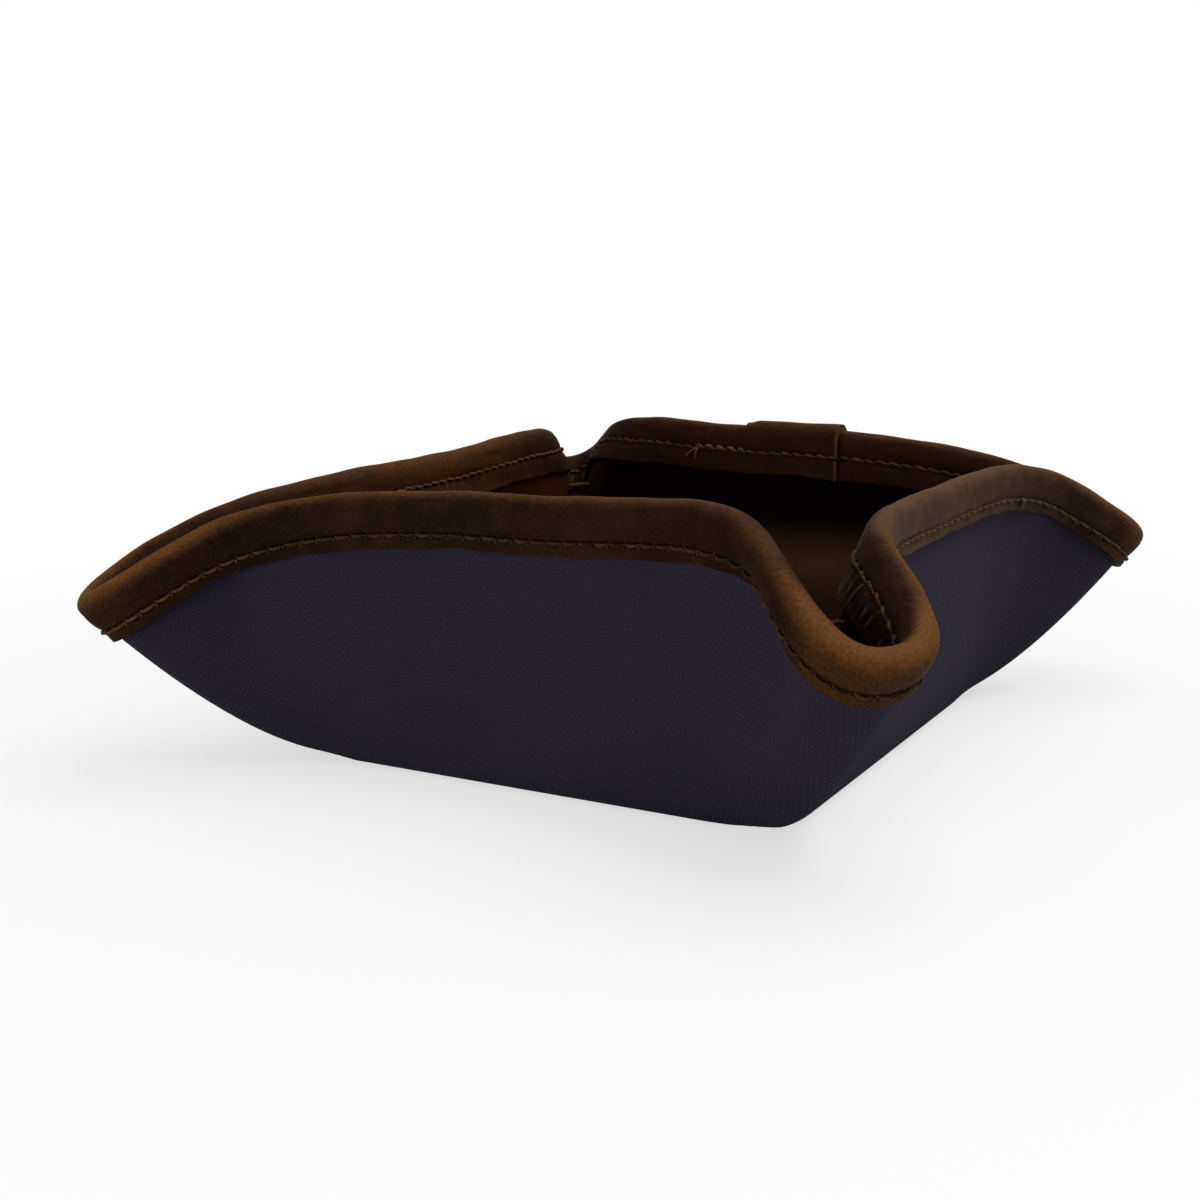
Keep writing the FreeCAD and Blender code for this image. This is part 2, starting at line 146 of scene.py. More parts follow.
class HalfCorner:
    """The stretch of the sheet from the middle of a wall to the tip of an ear."""

    def __init__(self, corner, side):
        self.side = side
        turn = math.pi / 2 * corner - math.pi / 4
        self.diagonal = np.array([math.cos(turn), math.sin(turn), 0.0])
        self.across = np.array([-math.sin(turn), math.cos(turn), 0.0])
        aside = self.across * side
        self.outward = unit(self.diagonal + aside)
        self.forward = unit(self.diagonal - aside)
        wall = corner if side < 0 else (corner + 1) % 4
        next_wall = (corner + 1) % 4 if side < 0 else corner
        self.outer_leg = outer_legs[wall]
        self.tip_leg = (outer_legs[wall] + outer_legs[next_wall]) / 2
        self.base_out = (base_depth, base_width)[wall % 2] / 2
        self.base_along = (base_width, base_depth)[wall % 2] / 2
        base_corner = self.forward * self.base_along + self.outward * self.base_out
        middle = self.outward * (self.base_out + wall_rim_leans[wall]) + up * wall_rim_heights[wall]
        axis = base_corner + self.diagonal * neck_overhangs[corner] + self.across * neck_shifts[corner]
        axis = axis + up * neck_heights[corner]
        neck = axis + aside * neck_half_gaps[corner] + up * (side * neck_twists[corner])
        tip = base_corner + self.diagonal * tip_overhangs[corner] + self.across * tip_shifts[corner]
        tip = tip + up * tip_heights[corner]
        run = tip - axis
        run = run / math.hypot(run[0], run[1])
        run[2] *= neck_slope_share
        self.curves = [
            [middle, middle + self.forward * wall_rim_straight, neck - run * neck_entries[corner], neck],
            [neck, neck + run * neck_exit, tip + aside * tip_rounds[corner], tip],
        ]
        self.steps = np.linspace(0, 1, curve_samples + 1)
        self.runs = [run_of(bezier(curve, self.steps)) for curve in self.curves]
        self.wall_length = self.runs[0][-1]
        self.length = self.wall_length + self.runs[1][-1]
        self.neck_share = self.wall_length / self.length
        self.pinch_share = self.neck_share + pinch_shift / self.length

    def crest(self, shares):
        along = shares * self.length
        on_wall = np.interp(along, self.runs[0], self.steps)
        on_ear = np.interp(along - self.wall_length, self.runs[1], self.steps)
        wall, ear = bezier(self.curves[0], on_wall), bezier(self.curves[1], on_ear)
        return np.where((shares <= self.neck_share)[:, None], wall, ear)

    def base(self, shares):
        """Foot on the base's rim, the way out of it, the share of the corner turned and the cut's edge."""
        straight = sheet_size / 2 - sheet_corner_radius
        distance = shares * (straight + sheet_corner_radius * math.pi / 4)
        angle = np.maximum(distance - straight, 0) / sheet_corner_radius
        flat_along = np.minimum(distance, straight) + sheet_corner_radius * np.sin(angle)
        flat_out = straight + sheet_corner_radius * np.cos(angle)
        start_along = self.base_along - base_corner_radius
        start_out = self.base_out - base_corner_radius
        turn = np.arctan2(np.maximum(flat_along - start_along, 0), flat_out - start_out)
        way = np.outer(np.sin(turn), self.forward) + np.outer(np.cos(turn), self.outward)
        foot = np.outer(np.minimum(flat_along, start_along), self.forward) + self.outward * start_out
        flat = np.outer(flat_along, self.forward) + np.outer(flat_out, self.outward)
        return foot + way * base_corner_radius, way, turn / (math.pi / 4), flat

    def plain_wall(self, shares):
        """Rows of points up the sheet's middle before the pinch, and the length left above each point."""
        foot, way, round_share, _ = self.base(shares)
        foot = foot + up * floor_height
        crest = self.crest(shares)
        rise = unit(unit(crest - foot) + up * lift_share)
        edge = crest - rise * binding_top
        reach = wall_fold_reach + (ear_fold_reach - wall_fold_reach) * round_share ** 2
        lean = rise * (rise_share * np.linalg.norm(edge - foot, axis=1, keepdims=True))
        curve = [p[:, None] for p in (foot, foot + way * reach[:, None], edge - lean, edge)]
        drawn = bezier(curve, np.broadcast_to(self.steps, (len(shares), len(self.steps))))
        runs = np.array([run_of(line) for line in drawn])
        return drawn, runs[:, -1:] - runs

    def pinch_at(self, level):
        """How far below the edge a level lies at the pinch, and the middle point there."""
        points, drops = self.plain_wall(np.array([self.pinch_share]))
        middle = np.array([np.interp(level, points[0, :, 2], points[0, :, i]) for i in range(3)])
        return np.interp(level, points[0, :, 2], drops[0]), middle

    def wall(self, shares, heights):
        """Rows of points up the pinched sheet at even heights, the slant lengths and the cut's points."""
        points, drops = self.plain_wall(shares)
        near_pinch = bump((shares - self.pinch_share) * self.length, pinch_width)[:, None]
        to_tack = np.minimum(drops / self.pinch_drop, 1) ** self.pull_power
        pull_share = np.sin(math.pi / 2 * to_tack) * bump(np.maximum(drops - self.pinch_drop, 0), pinch_depth)
        pull = self.side * self.pinch * near_pinch * pull_share
        points = points - self.across * pull[..., None]
        rows, slants = [], []
        for line in points:
            run = run_of(line)
            slants.append(run[-1])
            rows.append(np.stack([np.interp(heights * run[-1], run, line[:, i]) for i in range(3)], 1))
        foot, _, _, flat = self.base(shares)
        cut = foot[:, None] + (flat - foot)[:, None] * heights[None, :, None]
        return np.array(rows), np.array(slants), cut[..., :2]


class FoldedSheet:
    """The folded sheet's middle surface on a fine grid of stations round the rim and heights up the wall."""

    def __init__(self):
        self.halves = [HalfCorner(corner, side) for corner in range(4) for side in (-1, 1)]
        heights = np.linspace(0, 1, height_steps + 1)
        points, slants, cuts, necks, legs = [], [], [], [], []
        for corner in range(4):
            pair = self.halves[2 * corner:2 * corner + 2]
            crests = [half.crest(np.array([half.pinch_share]))[0, 2] for half in pair]
            level = sum(crests) / 2 - binding_top - pinch_drops[corner]
            drops, middles = zip(*[half.pinch_at(level) for half in pair])
            pinch = (middles[1] - middles[0]) @ pair[0].across / 2 - (tack_spans[corner] / 2 - lining_inner)
            for half, drop in zip(pair, drops):
                half.tack_level, half.pinch_drop, half.pinch = level, drop, pinch
                half.pull_power = drop / min(drops)
                shares = np.arange(half_stations) / half_stations
                if half.side > 0:
                    shares = 1 - shares
                rows, slant, cut = half.wall(shares, heights)
                points.append(rows)
                slants.append(slant)
                cuts.append(cut)
                necks.append((shares - half.neck_share) * half.length)
                legs.append(half.outer_leg + (half.tip_leg - half.outer_leg) * shares ** ear_change_power)
        self.points = np.concatenate(points)
        self.slants = np.concatenate(slants)
        self.cuts = np.concatenate(cuts)
        self.necks = np.concatenate(necks)
        self.outer_leg = np.concatenate(legs)
        ahead = np.roll(self.points, -slope_stations, 0) - np.roll(self.points, slope_stations, 0)
        index = np.arange(height_steps + 1)
        high = np.minimum(index + slope_heights, height_steps)
        low = np.maximum(index - slope_heights, 0)
        climb = unit(self.points[:, high] - self.points[:, low])
        climb[:, 0, 2] = 0
        self.outwards = unit(np.cross(ahead, climb))
        self.climbs = climb
        self.count = len(self.points)

    def rim(self, values, stations):
        """Values kept for each station, read between them."""
        place = np.asarray(stations) % len(self.halves) * half_stations
        first = np.floor(place).astype(int) % self.count
        part = (place - np.floor(place)).reshape((-1,) + (1,) * (values.ndim - 1))
        return values[first] * (1 - part) + values[(first + 1) % self.count] * part

    def read(self, grid, stations, heights):
        """Values of a grid at stations and heights of the same length."""
        column = self.rim(grid, stations)
        heights = np.broadcast_to(heights, np.shape(stations))
        place = np.clip(heights, 0, 1) * height_steps
        first = np.minimum(np.floor(place).astype(int), height_steps - 1)
        part = (place - first)[:, None]
        row = np.arange(len(first))
        return column[row, first] * (1 - part) + column[row, first + 1] * part

    def offset(self, stations, heights, distance):
        away = np.asarray(distance)
        if away.ndim:
            away = away[:, None]
        return self.read(self.points, stations, heights) + self.read(self.outwards, stations, heights) * away

    def over_edge(self, stations, distance, rise):
        """Points beside the sheet's edge, and above it by the rise."""
        rise = np.broadcast_to(rise, np.shape(stations))[:, None]
        return self.offset(stations, 1.0, distance) + self.rim(self.climbs[:, -1], stations) * rise

    def leg_height(self, stations, drop):
        return 1 - drop / self.rim(self.slants, stations)

    def leg(self, stations, side):
        """Length of the binding's outer (1) or inner (-1) leg."""
        if side > 0:
            return self.rim(self.outer_leg, stations)
        return np.full(len(stations), inner_leg)

    def seam_drop(self, stations, side):
        return self.leg(stations, side) - (outer_seam_margin if side > 0 else inner_seam_margin)


sheet = FoldedSheet()


def add_object(name, data):
    made = bpy.data.objects.new(name, data)
    bpy.context.scene.collection.objects.link(made)
    return made


def mark_points(data, name, kind, values):
    """Keep a number or a vector at each point of a mesh."""
    attribute = data.attributes.new(name, kind, "POINT")
    key = "value" if kind == "FLOAT" else "vector"
    attribute.data.foreach_set(key, np.asarray(values, np.float32).ravel())


def mesh_piece(name, points, faces, maps, marks=None):
    """Smooth mesh object. Maps are UV values for each face corner, marks are values for each point."""
    data = bpy.data.meshes.new(name)
    data.from_pydata(points.tolist(), [], faces)
    for map_name, values in maps.items():
        layer = data.uv_layers.new(name=map_name)
        layer.data.foreach_set("uv", np.asarray(values, np.float32).ravel())
    for mark, values in (marks or {}).items():
        mark_points(data, mark, "FLOAT", values)
    data.shade_smooth()
    data.update()
    return add_object(name, data)


def ring_faces(row_count, ring_size, closed_section):
    """Quads between rows of closed rings, as pairs of row and column, outside facing out."""
    rows = np.arange(row_count if closed_section else row_count - 1)
    r, c = np.meshgrid(rows, np.arange(ring_size), indexing="ij")
    r, c = r.ravel(), c.ravel()
    corner_rows = np.stack([r, r, r + 1, r + 1], 1)
    corner_columns = np.stack([c, c + 1, c + 1, c], 1)
    return corner_rows, corner_columns


# Rows of a layer: shares of the way out over the floor, then heights up the wall
layer_columns = 600
floor_shares = [0.25, 0.5, 0.75, 0.92]
wall_rows = [0.0, 0.015, 0.03, 0.05, 0.075, 0.1, 0.13, 0.16, 0.2, 0.24, 0.28, 0.33, 0.38, 0.43, 0.48, 0.53,
             0.58, 0.63, 0.68, 0.73, 0.78, 0.83, 0.88, 0.93, 0.97, 1.0]
# The lining turns up inside the fold, where rows close to the foot would run into each other
lining_rows = wall_rows[:1] + wall_rows[2:]


def layer_piece(name, outer_side, inner_side, heights):
    """One layer of the sheet as a closed shell: underside, walls, edge, inside and floor."""
    columns = layer_columns
    stations = np.arange(columns) * len(sheet.halves) / columns
    rows, cuts = [], []
    for distance, order in ((outer_side, 1), (inner_side, -1)):
        stack, flat = [], []
        foot = sheet.offset(stations, 0.0, distance)
        foot_cut = sheet.read(sheet.cuts, stations, np.zeros(columns))
        for share in floor_shares:
            ring = foot * share
            ring[:, 2] = foot[:, 2]
            stack.append(ring)
            flat.append(foot_cut * share)
        for height in heights:
            stack.append(sheet.offset(stations, height, distance))
            flat.append(sheet.read(sheet.cuts, stations, np.full(columns, height)))
        rows += stack[::order]
        cuts += flat[::order]
    rows, cuts = np.array(rows), np.array(cuts)
    corner_rows, corner_columns = ring_faces(len(rows), columns, False)
    wrapped = corner_columns % columns
    faces = (corner_rows * columns + wrapped).tolist()
    maps = [cuts[corner_rows, wrapped].reshape(-1, 2)]
    points = rows.reshape(-1, 3)
    for row, turned in ((0, True), (len(rows) - 1, False)):
        centre = len(points)
        points = np.vstack([points, [0, 0, rows[row][0][2]]])
        for c in range(columns):
            here, there = row * columns + c, row * columns + (c + 1) % columns
            ends = [(there, cuts[row][(c + 1) % columns]), (here, cuts[row][c])]
            if not turned:
                ends.reverse()
            faces.append([ends[0][0], ends[1][0], centre])
            maps.append(np.array([ends[0][1], ends[1][1], [0, 0]]))
    return mesh_piece(name, points, faces, {"Cut": np.concatenate(maps)})


# Rim stations of the binding, and the uneven run of its edges and its face
strip_columns = 1500
strip_stations = np.arange(strip_columns) * len(sheet.halves) / strip_columns
edge_waves = ((23, 0.4, 0.13 * mm), (41, 2.1, 0.10 * mm), (67, 5.0, 0.08 * mm), (107, 1.2, 0.05 * mm))
crest_waves = ((13, 1.0, 0.12 * mm), (29, 3.3, 0.08 * mm), (59, 0.2, 0.05 * mm))
face_wave_share = 0.6
inner_wave_shift = 2.0


def wave(waves, stations, shift=0.0):
    """Sum of waves round the rim, each given by its count, phase and size."""
    turn = np.asarray(stations) / len(sheet.halves) * 2 * math.pi
    return sum(size * np.sin(count * turn + phase + shift) for count, phase, size in waves)


def back_station(distance):
    """Station on the back wall at a distance from its middle, towards the right wall positive."""
    half = sheet.halves[3] if distance > 0 else sheet.halves[4]
    return 4.0 - distance / half.length


lap_cut_end = back_station(lap_shift + lap_length / 2)
lap_soft_end = back_station(lap_shift - lap_length / 2)
lap_climb = 1.8 * mm
lap_cut_climb = 0.5 * mm
lap_rise_full = binding_thickness + layer_gap
lap_thin_share = 0.5


def lap_rise(stations):
    """How far the lap lifts the seam above the binding's own face."""
    length = sheet.halves[3].length
    from_cut = (stations - lap_cut_end) * length
    to_soft = (lap_soft_end - stations) * length
    climb = smooth(-lap_cut_climb, lap_cut_climb, from_cut) * smooth(-lap_climb, lap_climb, to_soft)
    return lap_rise_full * climb


seam_groove = 0.3 * mm


def seam_line(side, stations):
    """Line of the seam on the outer (1) or inner (-1) face, with the direction out of that face."""
    heights = sheet.leg_height(stations, sheet.seam_drop(stations, side))
    seat = (skin_outside if side > 0 else -skin_inside) - seam_groove / 2
    outward = sheet.read(sheet.outwards, stations, heights) * side
    middle = sheet.read(sheet.points, stations, heights)
    return middle + outward * (seat + lap_rise(stations))[:, None], outward


def stitch_run(side, pitch):
    """Number of stitches round a seam, and their running count at each station and back at the start."""
    run = run_of(seam_line(side, np.append(strip_stations, 0.0))[0])
    count = round(run[-1] / pitch)
    return count, run / run[-1] * count


seams = {1: stitch_run(1, stitch_pitch), -1: stitch_run(-1, inner_stitch_pitch)}


def stitches_at(stations):
    """Running count of stitches on each face at stations."""
    return {side: np.interp(stations, strip_stations, seams[side][1][:-1]) for side in seams}


# Rows down each leg: places between the edge and the seam, beside the seam, and below it to the cut edge
above_seam_shares = np.array([0.12, 0.3, 0.5, 0.7, 0.86])
beside_seam = np.array([-1.0, -0.65, -0.35, 0.0, 0.35, 0.65, 1.0]) * mm
below_seam_shares = np.array([0.25, 0.5, 0.75, 0.92, 1.0])
crest_angles = np.linspace(0, math.pi, 13)
# Rows round the cut edge: how far past the leg's end and how far in from its face
cut_edge_rows = ((0.16 * mm, 0.22 * mm), (0.2 * mm, 0.6 * mm), (0.12 * mm, 1.0 * mm))
back_margin = 0.1 * mm

# Relief of the leather's face: the seam's groove and dents, the belly above it, the pleats inside the ears
groove_width = 0.85 * mm
dent_depth = 0.16 * mm
dent_width = 0.75 * mm
belly_depth = 0.1 * mm
pleat_depth = 0.09 * mm
pleat_pitch = 1.95 * mm
pleat_drift = 1.3
pleat_drift_rate = 1.7
pleat_ear_start, pleat_ear_full = -14 * mm, 2 * mm
pleat_top, pleat_full = -1.0 * mm, 1.2 * mm


def leg_drops(stations, side):
    """Rows of drops below the sheet's edge, from the top of a leg down to its cut edge."""
    seam, leg = sheet.seam_drop(stations, side), sheet.leg(stations, side)
    above, below = seam + beside_seam[0], seam + beside_seam[-1]
    rows = [crest_start + (above - crest_start) * share for share in above_seam_shares]
    rows += [seam + beside for beside in beside_seam]
    rows += [below + (leg - below) * share for share in below_seam_shares]
    return rows


def strip_face(stations, drop, side, stitch):
    """How far the leather stands off its nominal face at a drop below the sheet's edge."""
    seam = sheet.seam_drop(stations, side)
    from_seam = drop - seam
    stand = belly_depth * bump(drop - seam / 2, seam / 2)
    stand = stand - seam_groove * np.exp(-(from_seam / groove_width) ** 2)
    to_hole = np.abs(stitch % 1 - 0.5) * stitch_pitch
    hole = np.exp(-(to_hole / dent_width) ** 2 - (from_seam / dent_width) ** 2)
    stand = stand - dent_depth * hole + wave(crest_waves, stations, drop / mm) * face_wave_share
    if side < 0:
        in_ear = smooth(pleat_ear_start, pleat_ear_full, sheet.rim(sheet.necks, stations))
        drift = pleat_drift * np.sin(stitch * pleat_drift_rate)
        fold = np.sin(stitch * stitch_pitch / pleat_pitch * 2 * math.pi + drift)
        stand = stand + pleat_depth * fold * in_ear * smooth(pleat_top, pleat_full, from_seam)
    return stand


def strip_skin(stations, lift):
    """Rows over the leather's face from the outer edge to the inner edge, and the place of each across."""
    rows, across, stitches = [], [], stitches_at(stations)
    outer_leg = sheet.leg(stations, 1)
    for drop in leg_drops(stations, 1)[::-1]:
        deep = drop + wave(edge_waves, stations) * (drop / outer_leg) ** 3
        stand = strip_face(stations, drop, 1, stitches[1])
        rows.append(sheet.offset(stations, sheet.leg_height(stations, deep), skin_outside + lift + stand))
        across.append(-drop)
    middle = (skin_outside + skin_inside) / 2
    half = (skin_outside - skin_inside) / 2 + lift
    swell = crest_start + binding_top + lift + wave(crest_waves, stations)
    for angle in crest_angles:
        rise = swell * math.sin(angle) - crest_start
        rows.append(sheet.over_edge(stations, middle + half * math.cos(angle), rise))
        round_share = angle / math.pi
        across.append(np.full(len(stations), (crest_width + 2 * crest_start) * round_share - crest_start))
    for drop in leg_drops(stations, -1):
        deep = drop + wave(edge_waves, stations, inner_wave_shift) * (drop / inner_leg) ** 3
        stand = strip_face(stations, drop, -1, stitches[-1])
        rows.append(sheet.offset(stations, sheet.leg_height(stations, deep), skin_inside - lift - stand))
        across.append(crest_width + drop)
    return rows, across


def strip_edge(stations, side, lift):
    """Rows round the cut lower edge of one leg, from its face towards its back."""
    deep = sheet.leg(stations, side) + wave(edge_waves, stations, 0.0 if side > 0 else inner_wave_shift)
    face = (skin_outside if side > 0 else -skin_inside) + lift
    rows = []
    for more, inward in cut_edge_rows:
        rows.append(sheet.offset(stations, sheet.leg_height(stations, deep + more), side * (face - inward)))
    return rows


def strip_back(stations, outside, inside, rise):
    """Rows over the hidden back of the strip, from the inner leg over the edge to the outer leg."""
    rows = []
    for side, seat in ((-1, inside), (1, outside)):
        leg = sheet.leg(stations, side)
        low = sheet.offset(stations, sheet.leg_height(stations, leg - back_margin), side * seat)
        high = sheet.offset(stations, sheet.leg_height(stations, leg / 2), side * seat)
        rows += [low, high, sheet.over_edge(stations, side * seat, rise)][::-side]
    return rows


# Wear and painted light along the strip, by rim station: 0 is the front wall's middle, 1 the near ear's tip,
# and so on round
tip_wear_shares = np.array([0.5, 0.35, 0.4, 0.15])
crest_band_width = 2.1 * mm
near_bend_station, near_bend_reach = 0.5, 0.4
near_run_station, near_run_reach = 0.68, 0.33
left_wall_station, left_wall_reach = 6, 1.0
left_ear_station, left_ear_reach = 7, 0.7
glare_start, glare_full, glare_fade, glare_thin, glare_low, glare_end = 1.25, 1.6, 2.1, 2.7, 2.9, 3.1
glare_thin_share = 0.35
# The same by distance past the ear's neck, past the crest and below the inner seam
ear_start, ear_full = -12 * mm, 4 * mm
tip_wear_start, tip_wear_full = 6 * mm, 22 * mm
inside_margin = 1.5 * mm
crease_top, crease_full, crease_fade, crease_end = -0.6 * mm, 0.6 * mm, 3.0 * mm, 4.6 * mm


def strip_wear(stations, across):
    """Marks that colour the leather: worn with painted highlight, creased, painted reflection pale on the
    right wall, painted shade darker and warmer inside.
    """
    necks = sheet.rim(sheet.necks, stations)
    crest = np.exp(-((across - crest_width / 2) / crest_band_width) ** 2)
    ear = smooth(ear_start, ear_full, necks)
    tip = smooth(tip_wear_start, tip_wear_full, necks) * tip_wear_shares[(stations // 2).astype(int) % 4]
    inside = smooth(crest_width / 2, crest_width + inside_margin, across)
    # Painted shade on the binding before the near ear's bend: the first darkens the outer leg, the second
    # holds back its lighter colour
    near_bend_shade = bump(stations - near_bend_station, near_bend_reach)
    near_run_shade = bump(stations - near_run_station, near_run_reach)
    left_wall = bump(stations - left_wall_station, left_wall_reach)
    left_ear = bump(stations - left_ear_station, left_ear_reach)
    # Painted reflection: pale on the right wall's outer leg and crest, less towards the right ear
    glare = glare_thin_share + (1 - glare_thin_share) * smooth(glare_thin, glare_fade, stations)
    glare = smooth(glare_start, glare_full, stations) * glare * smooth(glare_end, glare_low, stations)
    below = across - crest_width - sheet.seam_drop(stations, -1)
    below_seam = smooth(crease_top, crease_full, below) * smooth(crease_end, crease_fade, below)
    # Wear at the ear tips and along the crest, with a painted highlight on the crest and on the left wall's
    # inner leg, which faces the light
    worn_and_lit = 0.6 * crest + 0.15 * crest * ear + tip * (1 - inside) + 0.6 * left_wall * inside
    worn_and_lit = worn_and_lit + 0.1 * left_ear
    # Painted shade, darker and warmer: on the inner leg outside the ears, half as much on the left wall,
    # which faces the light, and on the outer leg before the near ear's bend
    warm_shade = inside * (1 - ear) * (1 - 0.5 * left_wall)
    return {
        "worn_and_lit": np.clip(worn_and_lit * (1 - 0.4 * near_run_shade), 0, 1),
        "crease": np.clip((ear + 0.3 * left_wall) * below_seam, 0, 1),
        "painted_glare": glare * (1 - inside),
        "warm_shade": warm_shade + 0.4 * near_bend_shade * (1 - inside) * (1 - crest),
    }


hidden_margin = 0.5 * mm


def strip_maps(across, stations, run, hidden_rows):
    """Strip and seam coordinates and marks at every point of a strip's rows, the hidden and cut rows last."""
    across = np.array(list(across) + [across[-1] + hidden_margin] * hidden_rows)
    runs = np.broadcast_to(run, across.shape)
    above_outer = across + sheet.seam_drop(stations, 1)
    above_inner = sheet.seam_drop(stations, -1) + crest_width - across
    outer, stitches = across < crest_width / 2, stitches_at(stations)
    count = np.where(outer, stitches[1], stitches[-1])
    above = np.where(outer, above_outer, above_inner) / mm
    marks = strip_wear(stations, across)
    marks["raw"] = np.zeros(across.shape)
    marks["raw"][-hidden_rows:] = 1.0
    return np.stack([runs, across], -1), np.stack([count, above], -1), marks


def binding_piece():
    """Points, faces, maps and marks of the strip round the whole edge."""
    skin, across = strip_skin(strip_stations, 0.0)
    half_gap = layer_gap / 2
    back = strip_back(strip_stations, canvas_outer + half_gap, half_gap - lining_inner, half_gap)
    edges = [strip_edge(strip_stations, side, 0.0) for side in (-1, 1)]
    rows = skin + edges[0] + back + edges[1][::-1]
    crest = skin[len(skin) // 2]
    crest_run = run_of(np.vstack([crest, crest[:1]]))
    strip, seam, marks = strip_maps(across, strip_stations, crest_run[:-1], len(rows) - len(skin))
    corner_rows, corner_columns = ring_faces(len(rows), strip_columns, True)
    corner_rows, wrapped = corner_rows % len(rows), corner_columns % strip_columns
    last = corner_columns == strip_columns
    strip, seam = strip[corner_rows, wrapped], seam[corner_rows, wrapped]
    strip[last, 0] = crest_run[-1]
    seam[last, 0] = np.where(strip[last, 1] < crest_width / 2, seams[1][0], seams[-1][0])
    return np.array(rows), corner_rows * strip_columns + wrapped, strip, seam, marks


lap_columns = 70
lap_map_start = 1.7
lap_end_marks = (1.0, 0.5)
far_from_seam = 9.0


def lap_piece():
    """The strip's last stretch over its start: a soft climb at one end and a cut end at the other."""
    stations = np.linspace(lap_cut_end, lap_soft_end, lap_columns)
    run = (stations - lap_cut_end) * sheet.halves[3].length
    thinned = lap_thin_share + (1 - lap_thin_share) * smooth(0.0, 2 * lap_climb, run[-1] - run)
    lift = lap_rise_full * thinned
    skin, across = strip_skin(stations, lift)
    under, _ = strip_skin(stations, lift - binding_thickness)
    edges = [strip_edge(stations, side, lift) for side in (-1, 1)]
    rows = skin + edges[0] + under[::-1] + edges[1][::-1]
    strip, seam, marks = strip_maps(across, stations, run + lap_map_start, len(rows) - len(skin))
    marks["raw"][:, :2] = lap_end_marks
    corner_rows, corner_columns = ring_faces(len(rows), lap_columns - 1, True)
    corner_rows = corner_rows % len(rows)
    faces = corner_rows * lap_columns + corner_columns
    return (np.array(rows), faces[:, ::-1], strip[corner_rows, corner_columns][:, ::-1],
            seam[corner_rows, corner_columns][:, ::-1], marks)


def binding_strip():
    """The strip and its lap as one piece, the lap's two ends closed."""
    loop, lap = binding_piece(), lap_piece()
    first = loop[0].shape[0] * loop[0].shape[1]
    row_count = len(lap[0])
    cut_end = [first + row * lap_columns for row in range(row_count)]
    soft_end = [point + lap_columns - 1 for point in cut_end]
    faces = loop[1].tolist() + (first + lap[1]).tolist() + [cut_end, soft_end[::-1]]
    points = np.concatenate([loop[0].reshape(-1, 3), lap[0].reshape(-1, 3)])
    end_strip, end_seam = np.zeros((2 * row_count, 2)), np.full((2 * row_count, 2), far_from_seam)
    maps = {
        "Strip": np.concatenate([loop[2].reshape(-1, 2), lap[2].reshape(-1, 2), end_strip]),
        "Seam": np.concatenate([loop[3].reshape(-1, 2), lap[3].reshape(-1, 2), end_seam]),
    }
    marks = {name: np.concatenate([loop[4][name].ravel(), lap[4][name].ravel()]) for name in loop[4]}
    return mesh_piece("binding_strip", points, faces, maps, marks)


class Nodes:
    """Nodes of one tree, added and joined from left to right."""

    def __init__(self, tree):
        self.tree = tree

    def add(self, kind, values=None, **settings):
        node = self.tree.nodes.new(kind)
        for key, value in settings.items():
            setattr(node, key, value)
        for key, value in (values or {}).items():
            self.feed(node.inputs[key], value)
        return node

    def feed(self, socket, value):
        if isinstance(value, bpy.types.NodeSocket):
            self.tree.links.new(value, socket)
        else:
            socket.default_value = value

    def maths(self, operation, *values, clamp=False):
        node = self.add("ShaderNodeMath", dict(enumerate(values)), operation=operation, use_clamp=clamp)
        return node.outputs[0]

    def plus(self, first, second):
        return self.maths("ADD", first, second)

    def minus(self, first, second):
        return self.maths("SUBTRACT", first, second)

    def times(self, first, second):
        return self.maths("MULTIPLY", first, second)

    def weighted(self, *terms, start=0.0):
        """Sum of values times their weights, added to a starting value."""
        total = start
        for value, weight in reversed(terms):
            total = self.maths("MULTIPLY_ADD", value, weight, total)
        return total


